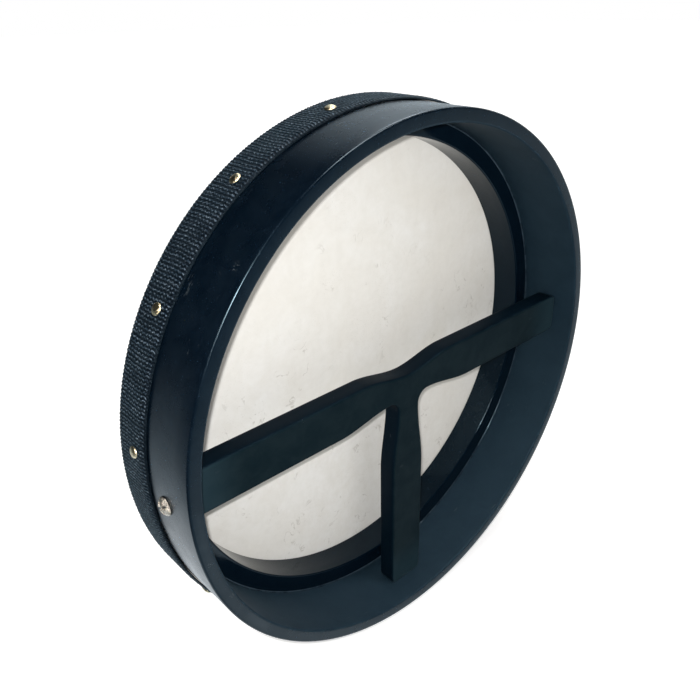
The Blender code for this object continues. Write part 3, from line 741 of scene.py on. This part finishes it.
def placed(name, mesh, place):
    """A copy of a mesh put in its place, with the object itself at the origin."""
    own = mesh.copy()
    own.name = name
    own.transform(place)
    item = bpy.data.objects.new(name, own)
    bpy.context.scene.collection.objects.link(item)
    return item


screw_shape = cut_screw()
screws = {node: placed(node + "_pan_head", screw_shape,
                       radial_place(angle, SCREW_SEAT - 0.2 * MM, MIDDLE_DEPTH + drift, spin))
          for node, (angle, drift, spin) in SCREWS.items()}


def tack_mesh(number):
    """One domed tack, a little dented by the hammer."""
    rows = [(TACK_RADIUS * sin(pi / 2 * i / 9), TACK_HEIGHT * cos(pi / 2 * i / 9))
            for i in range(9)]
    rows += [(TACK_RADIUS, 0.10 * MM), (TACK_RADIUS - 0.12 * MM, -0.05 * MM), (TACK_SHANK, 0.0),
             (TACK_SHANK, -TACK_SHANK_LENGTH + 1.5 * MM), (0.2 * MM, -TACK_SHANK_LENGTH + 0.1 * MM),
             (0.0, -TACK_SHANK_LENGTH)]
    points, faces = local_turned(rows, TACK_STEPS)
    dented = []
    for x, y, z in points:
        if z > 0.05 * MM:
            dent = noise.noise(Vector((x * 420.0, y * 420.0, number * 3.7)))
            z += 0.09 * MM * dent * ease(z / (0.6 * MM))
        dented.append((x, y, z))
    return dented, faces


tacks = {}
for number in range(1, TACKS + 1):
    angle = TACK_FIRST + 360.0 * (number - 1) / TACKS + TACK_DRIFT.get(number, 0.0)
    lean = Matrix.Rotation(radians(2.5 * sin(number * 2.3)), 4, "X") \
        @ Matrix.Rotation(radians(2.5 * cos(number * 1.7)), 4, "Y")
    blank = finish_mesh("tack_blank", *tack_mesh(number), brass, 50.0)
    node = f"tack_{number:02d}"
    tacks[node] = placed(node + "_dome", blank.data,
                         radial_place(angle, TACK_SEAT - 0.1 * MM, TACK_DEPTH) @ lean)
    bpy.data.objects.remove(blank, do_unlink=True)


# ---------------------------------------------------------------- riding and replacing

def stands_for(piece, node):
    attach(piece, "root")
    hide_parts(node)


stands_for(shell, "shell")
stands_for(ring, "inner_ring")
stands_for(skin, "drum_skin")
stands_for(band, "webbing_band")
stands_for(bar, "t_bar")
for node, piece in screws.items():
    stands_for(piece, node)
for node, piece in tacks.items():
    stands_for(piece, node)


# ---------------------------------------------------------------- camera, floor and light

CAMERA_PLACE = Vector((-0.2161, -0.2034, 0.1703))
CAMERA_LOOKS = Vector((0.594565, 0.661008, -0.457779))
CAMERA_ROLL = 1.398
LENS, SENSOR = 36.61, 36.0
FLOOR_RADIUS, FLOOR_GAP = 6.0, 1.8 * MM
# The small light: power, size, and shift from the camera (right, up, back). It is on the left.
FLASH_POWER, FLASH_SIZE, FLASH_SHIFT = 3.85, 0.003, (-0.0050, 0.0070, 0.0)
# Light from below in reflections, by the sine of the angle below level, and its strength.
GROUND = ((0.0, 0.0), (0.10, 0.030), (0.19, 0.060), (0.36, 0.092), (0.50, 0.118),
          (0.62, 0.180), (0.69, 0.194), (0.74, 0.190), (1.0, 0.170))
GROUND_STRENGTH = 6.5
# Bright patches in reflections: azimuth (from +Y toward +X), elevation, outer and inner angle,
# strength.
PATCHES = ((62.0, 15.0, 50.0, 12.0, 0.80), (53.7, 45.8, 14.0, 6.0, 9.0),
           (118.0, -12.0, 34.0, 6.0, 0.40), (152.0, -45.0, 10.0, 3.0, 1.10),
           (145.0, 60.0, 14.0, 7.0, 26.0), (-135.0, 24.0, 8.5, 4.5, 34.0))

camera_data = bpy.data.cameras.new("camera")
camera_data.lens, camera_data.sensor_width, camera_data.clip_start = LENS, SENSOR, 0.01
camera = bpy.data.objects.new("camera", camera_data)
camera.matrix_world = (Matrix.Translation(CAMERA_PLACE)
                       @ CAMERA_LOOKS.to_track_quat("-Z", "Y").to_matrix().to_4x4()
                       @ Matrix.Rotation(-radians(CAMERA_ROLL), 4, "Z"))
bpy.context.scene.collection.objects.link(camera)
bpy.context.scene.camera = camera

floor_height = min(v.co.z for v in band.data.vertices) - FLOOR_GAP
floor_mesh = bpy.data.meshes.new("floor")
floor_mesh.from_pydata([(FLOOR_RADIUS * cos(pi * i / 32), FLOOR_RADIUS * sin(pi * i / 32),
                         floor_height) for i in range(64)], [], [tuple(range(64))])
floor = bpy.data.objects.new("floor", floor_mesh)
bpy.context.scene.collection.objects.link(floor)
paper = new_material("pale_floor")
paper.set(Base_Color=paper.mix(paper.noise(9.0, 2.0), (0.90, 0.90, 0.90), (0.92, 0.92, 0.92)),
          Roughness=0.9, Specular_IOR_Level=0.0, Emission_Color=(1.0, 1.0, 1.0),
          Emission_Strength=0.35)
floor_mesh.materials.append(paper.owner)
floor.visible_glossy = False
floor.visible_diffuse = False

# A small light just above and left of the camera.
flash_data = bpy.data.lights.new("camera_light", "POINT")
flash_data.energy, flash_data.shadow_soft_size = FLASH_POWER, FLASH_SIZE
flash = bpy.data.objects.new("camera_light", flash_data)
turn = camera.matrix_world.to_3x3()
flash.location = CAMERA_PLACE + turn @ Vector(FLASH_SHIFT)
bpy.context.scene.collection.objects.link(flash)

# The studio: pale behind the object, with soft light of its own for matt and for shiny surfaces.
world = bpy.data.worlds.new("studio")
bpy.context.scene.world = world
w = Nodes(world)
w.tree.nodes.clear()
toward = w.add("ShaderNodeTexCoord").outputs["Generated"]
x, y, z = w.apart(toward)
below = w.math("MULTIPLY", z, -1.0)
ramp = w.add("ShaderNodeValToRGB", {"Fac": below})
while len(ramp.color_ramp.elements) < len(GROUND):
    ramp.color_ramp.elements.new(0.5)
for element, (at, value) in zip(ramp.color_ramp.elements, GROUND):
    element.position, element.color = at, (value, value, value, 1.0)
ground = w.math("MULTIPLY", ramp.outputs["Color"], GROUND_STRENGTH)
ground = w.math("MULTIPLY", ground, w.span(y, -0.45, 0.25, 0.50, 1.0))
ground = w.math("MULTIPLY", ground, w.span(x, -0.72, -0.48, 0.15, 1.0))


def glow(azimuth, elevation, wide, narrow, strength):
    """Light round one direction, from nothing at one angle off it to full at the other."""
    way = (sin(radians(azimuth)) * cos(radians(elevation)),
           cos(radians(azimuth)) * cos(radians(elevation)), sin(radians(elevation)))
    near = w.add("ShaderNodeVectorMath", {0: toward, 1: way},
                 operation="DOT_PRODUCT").outputs["Value"]
    return w.span(near, cos(radians(wide)), cos(radians(narrow)), 0.0, strength)


shiny = ground
for patch in PATCHES:
    shiny = w.math("ADD", shiny, glow(*patch))
tint = w.mix(w.span(shiny, 0.0, 0.5), (0.82, 1.0, 1.17), (0.87, 1.02, 1.12))
tint = w.mix(w.span(shiny, 0.5, 1.6), tint, (0.98, 1.02, 1.06))
tint = w.mix(w.span(shiny, 10.0, 18.0), tint, (1.25, 1.06, 1.0))
shiny_light = w.add("ShaderNodeBackground", {"Color": tint, "Strength": shiny}).outputs[0]
soft = w.math("ADD", w.span(x, -0.35, 0.35, 0.98, 0.30), w.span(z, 0.60, 1.0, 0.0, 0.8))
soft_light = w.add("ShaderNodeBackground", {"Color": (1.0, 0.985, 0.96, 1.0),
                                            "Strength": soft}).outputs[0]
pale = w.add("ShaderNodeBackground", {"Color": (1.0, 1.0, 1.0, 1.0), "Strength": 1.0}).outputs[0]
path = w.add("ShaderNodeLightPath").outputs
lit = w.add("ShaderNodeMixShader", {0: path["Is Glossy Ray"], 1: soft_light, 2: shiny_light})
seen = w.add("ShaderNodeMixShader", {0: path["Is Camera Ray"], 1: lit.outputs[0], 2: pale})
w.add("ShaderNodeOutputWorld", {"Surface": seen.outputs[0]})
world.cycles.sampling_method = "NONE"
bpy.context.scene.view_settings.view_transform = "Standard"
